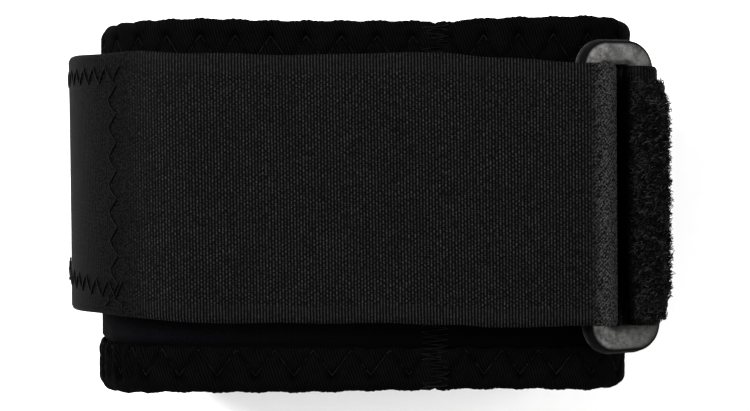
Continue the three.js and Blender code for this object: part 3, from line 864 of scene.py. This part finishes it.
def tape_faces(along, across, pile):
    """The pile's face and the backing's face. The pile ends short of the edges; the backing is a
    rib for each RIB along the tape, the absolute sine of half a turn."""
    field = 1 - ease(np.abs(across), TAPE_FIELD - 0.3, TAPE_FIELD + 0.3)
    rounded = 0.35 * ease(np.abs(across), TAPE_WIDTH / 2 - 0.7, TAPE_WIDTH / 2) ** 2
    tufts = 0.1 * np.sin(along * 3.1 + 2 * np.sin(across * 1.3)) * np.sin(across * 2.7)
    pile_face = -TAPE / 2 + TAPE_BACKING - rounded + field * (pile * 0.8 + tufts)
    rib = np.abs(np.sin(np.pi * along / RIB)) ** 0.7
    back_face = -TAPE / 2 + 0.1 + rounded - 0.09 * rib
    return pile_face, back_face


def make_strap():
    """The tape on its path, with coarse rows where it is hidden. Its edges wave by a sum of two
    sines, which a fourth power of the place across keeps to the edges."""
    hidden = np.arange(0, FOLD - 4, 1.0)
    shown = np.arange(FOLD - 4, strap_path["length"], RIB / 4)
    along = np.concatenate([hidden, shown, [strap_path["length"]]])
    across = tape_rows(27)[None, :]
    pile_face, back_face = tape_faces(along[:, None], across, TAPE_PILE)
    half = 25.0
    wave = 0.12 * np.sin(along[:, None] / 11) * (np.abs(across) / half) ** 3
    edge_wave = 0.12 * np.sin(along / 7.3)[:, None] + 0.08 * np.sin(along / 2.9)[:, None]
    shown_width = across * (1 + edge_wave / half * (np.abs(across) / half) ** 4)
    x = np.interp(along, strap_path["along"], strap_path["x"])
    ribbed = ease(x, -45, -36) * (1 - ease(x, 40.5, 44))
    piece = shell("strap_tape", strap_path, along, shown_width, pile_face + wave, back_face + wave,
                  LEFTWARD, BACKING, ribbed=ribbed)
    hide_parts("strap")


make_strap()

# %% [markdown]
# ## The hook patch
# Under the strap's free end sits a patch of hook tape. Only its edges can be seen, but from the
# rim it has to look right, so it gets a thin base and rows of small bent hooks.

# %% The hook patch


def make_hook_patch():
    """A thin base on the patch's path, and hooks on a grid of places. Each hook rises as a sine
    and leans forward as the square of its share."""
    along = np.linspace(0, patch_path["length"], 60)
    across = np.linspace(-PATCH_WIDTH / 2, PATCH_WIDTH / 2, 30)[None, :]
    base, margin = 0.5, 0.6
    low = np.full((60, 30), -PATCH_WALL / 2)
    piece = shell("hook_tape_base", patch_path, along, across, low + base, low, LEFTWARD, HOOKS)
    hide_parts("hook_patch")
    rows, columns = 20, 27
    at, over = np.meshgrid(np.linspace(margin, patch_path["length"] - margin, rows),
                           np.linspace(-PATCH_WIDTH / 2 + margin, PATCH_WIDTH / 2 - margin, columns))
    share = np.linspace(0, 1, 5)[None, :]
    bend = at.reshape(-1, 1) + 0.4 * share ** 2
    rise = -PATCH_WALL / 2 + base - 0.05 + 0.62 * np.sin(share * np.pi * 0.62)
    centres = place_tape(patch_path, bend, np.broadcast_to(over.reshape(-1, 1), bend.shape), rise,
                         LEFTWARD)
    strands("hook_rows", centres, 0.1, 4, HOOKS)


make_hook_patch()

# %% [markdown]
# ## The box of stitches on the strap
# Black thread holds the patch: a close zigzag along each side of it and a slack one across each
# end. The lower side row ends in a knot, with two loose tails at the front row.

# %% The strap's stitches
PATCH_FRONT_X = -46.0
FRONT_ROW_LENGTH, FRONT_ROW_PITCH, SIDE_ROW_PITCH = 42.5, 5.3, 3.7
SIDE_ROWS = ((18.9, 22.1, 0.0), (-21.6, -18.2, 1.5))


def patch_front():
    """The distance along the strap where its outer layer passes the patch's front edge."""
    outer = strap_path["along"] > FOLD
    nearest = np.abs(strap_path["x"][outer] - PATCH_FRONT_X).argmin()
    return strap_path["along"][outer][nearest]


def make_strap_stitches():
    """The side rows run round the bend, between two places across the tape, and one of them
    slopes. The end rows lie at the patch's front edge and at its far edge, and sag a little."""
    random = np.random.default_rng(3)
    front, end = patch_front(), strap_path["length"] - 2.5
    parts = []
    for low, high, slope in SIDE_ROWS:
        along, across, hump = zigzag_points(end - front + 2.4, SIDE_ROW_PITCH, low, high)
        uneven = random.normal(0, 0.16, (len(along), 1)) * hump
        risen = slope * ease(along, 0, 24)
        parts.append((front - 2.1 + along, across + uneven + risen, hump))
    for at in (front, end):
        across, along, hump = zigzag_points(FRONT_ROW_LENGTH, FRONT_ROW_PITCH, -1.0, 1.0)
        astray = random.normal(0, 0.12, (len(along), 1))
        sag = hump * (0.22 * np.sign(np.gradient(along, axis=1)) + astray)
        parts.append((at + along + sag, across - 21.2, hump))
    centres = np.concatenate([place_tape(strap_path, along, across, TAPE / 2 - 0.04 + 0.16 * hump,
                                         RIGHTWARD) for along, across, hump in parts])
    return strands("strap_box_stitches", centres, 0.17, 6, BLACK_THREAD)


def make_thread_knot():
    """The lower row's end: tight turns of thread on the bend, and two loose tails by the front
    row. A tail is a straight run with a sine sway."""
    random = np.random.default_rng(17)
    bend = strap_path["along"][strap_path["x"].argmin()]
    share = np.linspace(0, 1, 14)[None, :]
    each = (9, 1)
    turn = 2 * np.pi * share + random.uniform(0, 6, each)
    wide = random.uniform(0.5, 1.0, each)
    along = bend - 2.2 + random.uniform(-0.9, 1.6, each) + wide * np.cos(turn)
    across = -17.6 + random.uniform(-1.6, 1.6, each) + wide * 1.2 * np.sin(turn)
    out = TAPE / 2 + 0.15 + random.uniform(0, 0.4, each) + 0.12 * np.sin(turn * 2)
    tails_along = np.array([[0.0], [0.6]]) + share * np.array([[-2.4], [1.8]]) + 0.3 * np.sin(share * 7)
    tails_across = np.array([[-21.2], [-20.4]]) - share * np.array([[1.9], [2.6]])
    tails_out = TAPE / 2 + 0.12 + 0.1 * np.sin(share * 9)
    centres = np.concatenate([
        place_tape(strap_path, along, across, out, RIGHTWARD),
        place_tape(strap_path, patch_front() + tails_along, tails_across, tails_out, RIGHTWARD)])
    return strands("strap_thread_knot", centres, 0.15, 6, BLACK_THREAD)


make_strap_stitches()
make_thread_knot()

# %% [markdown]
# ## The ring's loop and its pile
# The tape that holds the ring turns its pile outwards. A pile is thousands of fine loops, brushed
# and matted. Each fibre here is an arch that leans its own way, and a slow wave over the surface
# gathers the arches into tufts.

# %% The ring loop's tape


def loop_pile_height(along):
    """The pile is tall up the right side, lower round the bar and flat on the back."""
    heading = np.interp(along, loop_path["along"], loop_path["heading"])
    crest = 1 - 0.75 * ease(heading, np.radians(150), np.radians(205))
    return TAPE_PILE * (0.4 + 0.6 * crest) + 0.75 * ease(np.sin(heading), 0.2, 0.9) * crest


def make_ring_loop():
    """The same tape on the loop's path, with the pile's face outwards."""
    along = np.append(np.arange(0, loop_path["length"], 0.4), loop_path["length"])
    across = tape_rows(41)[None, :]
    pile_face, back_face = tape_faces(along[:, None], across, loop_pile_height(along)[:, None])
    piece = shell("ring_loop_tape", loop_path, along, across, pile_face, back_face, RIGHTWARD,
                  BACKING, placing=place_loop, ribbed=np.ones(len(along)))
    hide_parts("ring_loop")


make_ring_loop()

# %% The pile's fibres
PILE_HALF_WIDTH = TAPE_FIELD + 0.4
OVER_LOWER_EDGE = 1.6
FIBRE_RADIUS, FIBRE_REACH, FIBRE_CURL, FIBRE_POINTS = 0.07, 1.6, 0.9, 5


def fibre_arches(random, low, high, count):
    """Arches whose roots lie between low and high along the loop. Each runs its reach in a random
    direction, up by a sine hump and with a curl of its own. The pile is lower at its edges, and a
    product of two sines over the surface makes the tufts."""
    share = np.linspace(0, 1, FIBRE_POINTS)[None, :]
    root = random.uniform(low, high, (count, 1))
    over = random.uniform(-PILE_HALF_WIDTH - OVER_LOWER_EDGE, PILE_HALF_WIDTH, (count, 1))
    way = random.uniform(0, 2 * np.pi, (count, 1))
    far = random.uniform(0.4, 1.0, (count, 1)) * FIBRE_REACH
    curl = random.normal(0, 0.35, (count, FIBRE_POINTS)) * np.sin(np.pi * share)
    tuft = 0.72 + 0.45 * np.sin(root * 1.9 + 1.5 * np.sin(over * 1.1)) * np.sin(over * 1.7 + root * 0.6)
    pile = loop_pile_height(root)
    tall = (0.75 * pile + 0.2) * tuft * random.uniform(0.55, 1.1, (count, 1))
    along = root + far * (share - 0.5) * np.cos(way) + curl * FIBRE_CURL
    across = over + far * (share - 0.5) * np.sin(way) + np.roll(curl, 1, axis=1) * FIBRE_CURL
    inside = ease(PILE_HALF_WIDTH - np.abs(over), -0.5, 5)
    base = (-TAPE / 2 + TAPE_BACKING + 0.6 * pile) * (0.6 + 0.4 * inside)
    out = base + tall * (0.4 + 0.6 * inside) * np.sin(np.pi * share) ** 0.8
    return place_loop(loop_path, np.clip(along, 0, loop_path["length"]), across, out, RIGHTWARD)


def make_loop_pile():
    """Three pieces, so that none is too heavy: up the side, over its crest and round the ring's
    bar. They meet where the path heads in the given directions."""
    random = np.random.default_rng(7)
    stops = [loop_path["along"][np.abs(loop_path["heading"] - np.radians(degrees)).argmin()]
             for degrees in (25, 84, 132, 215)]
    counts = {"loop_pile_side": 4600, "loop_pile_crest": 5600, "loop_pile_bar": 5200}
    for (name, count), low, high in zip(counts.items(), stops, stops[1:]):
        fibres = fibre_arches(random, low, high, count)
        strands(name, fibres, FIBRE_RADIUS, 3, PILE, taper=np.array([0.6, 1, 1, 1, 0.6]))


make_loop_pile()

# %% [markdown]
# ## The ring
# The ring is a rounded frame. Its surface is a section carried round the middle of the bars: at
# each place the section reaches from the slot's outline to the outer outline, and is a rectangle
# with well rounded corners, because a moulding has no sharp edge.

# %% The moulded ring
# The ring lies turned by RING_LEAN radians. In the photograph its right bar is a little wider than
# the model's, and its ends, the lower one above all, are a little thicker round a shorter slot.
RING_LEAN, WIDER_BAR, THICKER_ENDS, THICKER_LOWER_END = 0.028, 0.5, 0.35, 0.5


def rounded_outline(width, length, corner, count):
    """A rounded rectangle's outline with the same number of points on every quarter: an arc round
    each corner's middle, then a straight run to the next arc, divided evenly."""
    signs = np.array([(1, -1), (1, 1), (-1, 1), (-1, -1)])
    middles = signs * np.array([width / 2 - corner, length / 2 - corner])
    angle = np.linspace(0, np.pi / 2, count) + np.pi / 2 * (np.arange(4)[:, None] - 1)
    arcs = middles[:, None] + corner * np.stack([np.cos(angle), np.sin(angle)], -1)
    share = np.linspace(0, 1, count + 1)[1:-1, None]
    runs = arcs[:, -1:] * (1 - share) + np.roll(arcs, -1, axis=0)[:, :1] * share
    return np.concatenate([arcs, runs], 1).reshape(-1, 2)


def ring_section(count):
    """The section's reach from the slot's outline (-1) to the outer outline (1), and its height
    as a share of half the thickness. It is a rectangle with well rounded corners; the parting
    line of the mould runs round the outside, over a lip that stands a little further out. The
    last two numbers tell the finish where the corners and the outer side are, which it darkens as
    painted shade, the lip less, so the lip keeps a painted highlight."""
    angle = np.linspace(0, 2 * np.pi, count + 1)[:-1]
    cosine, sine = np.cos(angle), np.sin(angle)
    reach = np.sign(cosine) * np.abs(cosine) ** 0.45
    height = np.sign(sine) * np.abs(sine) ** 0.5
    outside = ease(cosine, 0.2, 0.6)
    groove = np.exp(-((height + 0.12) / 0.12) ** 2) * outside
    lip = ease(-height, 0.15, 0.35) * outside
    # Painted shade on the outer side, with less of it on the lip, which so carries a painted highlight.
    side = ease(cosine, 0.3, 0.6) * (1 - 0.55 * lip * ease(-height, 0.3, 0.5))
    return reach - 0.12 * groove + 0.14 * lip, height, 4 * (cosine * sine) ** 2, side


def make_ring():
    """The section between the two outlines, flat at first. Then the ring is tilted as its bars
    lie, turned by its lean and moved to the middle between the bars."""
    slot = TAPE_WIDTH * (1 - NARROWED) + SLOT_END_GAP
    length = slot + 2 * (RING_END_BAR + THICKER_ENDS) + THICKER_LOWER_END
    spacing = np.hypot(*(RIGHT_BAR - LEFT_BAR))
    outer = rounded_outline(spacing + RING_BAR + WIDER_BAR, length, RING_CORNER, 14)
    outer[:, 0] += WIDER_BAR / 2
    outer[:, 1] -= THICKER_LOWER_END / 2
    inner = rounded_outline(spacing - RING_BAR, slot, RING_SLOT_CORNER, 14)
    reach, height, edge, side = ring_section(48)
    share = (1 + reach[None, :, None]) / 2
    flat = inner[:, None] * (1 - share) + outer[:, None] * share
    rise = np.broadcast_to(height[None, :, None] * RING_THICKNESS / 2, (*flat.shape[:2], 1))
    local = np.concatenate([flat, rise], 2)
    tilt = np.arctan2(LEFT_BAR[1] - RIGHT_BAR[1], RIGHT_BAR[0] - LEFT_BAR[0])
    about_y = np.array([[np.cos(tilt), 0, np.sin(tilt)], [0, 1, 0], [-np.sin(tilt), 0, np.cos(tilt)]])
    about_z = np.array([[np.cos(RING_LEAN), -np.sin(RING_LEAN), 0],
                        [np.sin(RING_LEAN), np.cos(RING_LEAN), 0], [0, 0, 1]])
    middle_x = (LEFT_BAR[0] + RIGHT_BAR[0]) / 2
    middle_y = smooth_table(middle_x / TABLE_WIDTH, DRIFT_AT, DRIFT)
    points = local @ (about_z @ about_y).T + [middle_x, middle_y, (LEFT_BAR[1] + RIGHT_BAR[1]) / 2]
    # The edge and side marks carry the painted shade of the ring's corners and outer side.
    marks = {"edge": np.broadcast_to(edge, flat.shape[:2]), "side": np.broadcast_to(side, flat.shape[:2])}
    piece = build_mesh("ring_frame", points, ring_faces(*flat.shape[:2], True), PLASTIC,
                       marks, sharp=80)
    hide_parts("ring")


make_ring()

# %% [markdown]
# ## Floor, light and camera
# The photograph looks straight down from about a third of a metre, at something lying on white.
# A soft light stands at the upper left and a wider, weaker one on the right, and a bright even
# surround fills the shadows.

# %% The floor


def make_floor():
    """One large square of white paper, a fifth of a millimetre under the strap."""
    reach, floor_z = 3.0, float(cad_box[0][2]) - 0.0002
    mesh = bpy.data.meshes.new("floor")
    mesh.from_pydata([(-reach, -reach, floor_z), (reach, -reach, floor_z), (reach, reach, floor_z),
                      (-reach, reach, floor_z)], [], [(0, 1, 2, 3)])
    floor = bpy.data.objects.new("floor", mesh)
    bpy.context.scene.collection.objects.link(floor)
    paper = Finish("white_paper", Roughness=0.9)
    grain = paper.noise(4.0)
    paper.varies("Base Color", paper.blend(grain, (0.86, 0.86, 0.86), (0.9, 0.9, 0.9)))
    mesh.materials.append(paper.material)


make_floor()

# %% Light and camera
STRAP_MIDDLE = (0.0, 0.0, 0.03)


def soft_light(name, place_m, size_m, watts):
    """A round area light that looks at STRAP_MIDDLE."""
    lamp = bpy.data.lights.new(name, "AREA")
    lamp.shape, lamp.size, lamp.energy = "DISK", size_m, watts
    holder = bpy.data.objects.new(name, lamp)
    bpy.context.scene.collection.objects.link(holder)
    holder.location = place_m
    way = Vector(STRAP_MIDDLE) - Vector(place_m)
    holder.rotation_euler = way.to_track_quat("-Z", "Y").to_euler()


soft_light("key_light", (-0.55, 0.35, 0.65), 0.45, 21.0)
soft_light("fill_light", (0.6, -0.1, 0.8), 0.8, 9.0)

world = bpy.data.worlds.new("surround")
bpy.context.scene.world = world
world.use_nodes = True
world.node_tree.nodes["Background"].inputs["Color"].default_value = (1, 1, 1, 1)
world.node_tree.nodes["Background"].inputs["Strength"].default_value = 0.6

PHOTO_WIDTH_PX = 750
PX_PER_MM_AT_STRAP = 5.46
CAMERA_OVER_STRAP = 320.0
STRAP_FRONT = 61.2
CAMERA_X = 2.5
camera_data = bpy.data.cameras.new("camera")
camera_data.sensor_width = 36.0
camera_data.lens = PX_PER_MM_AT_STRAP * CAMERA_OVER_STRAP * camera_data.sensor_width / PHOTO_WIDTH_PX
camera = bpy.data.objects.new("camera", camera_data)
bpy.context.scene.collection.objects.link(camera)
camera.location = ((CAMERA_X + SHIFT[0]) * METRE, SHIFT[1] * METRE,
                   (STRAP_FRONT + CAMERA_OVER_STRAP) * METRE)
bpy.context.scene.camera = camera
bpy.context.scene.view_settings.view_transform = "Standard"
print(f"lens {camera_data.lens:.1f} mm, {camera.location.z:.3f} m above the floor")
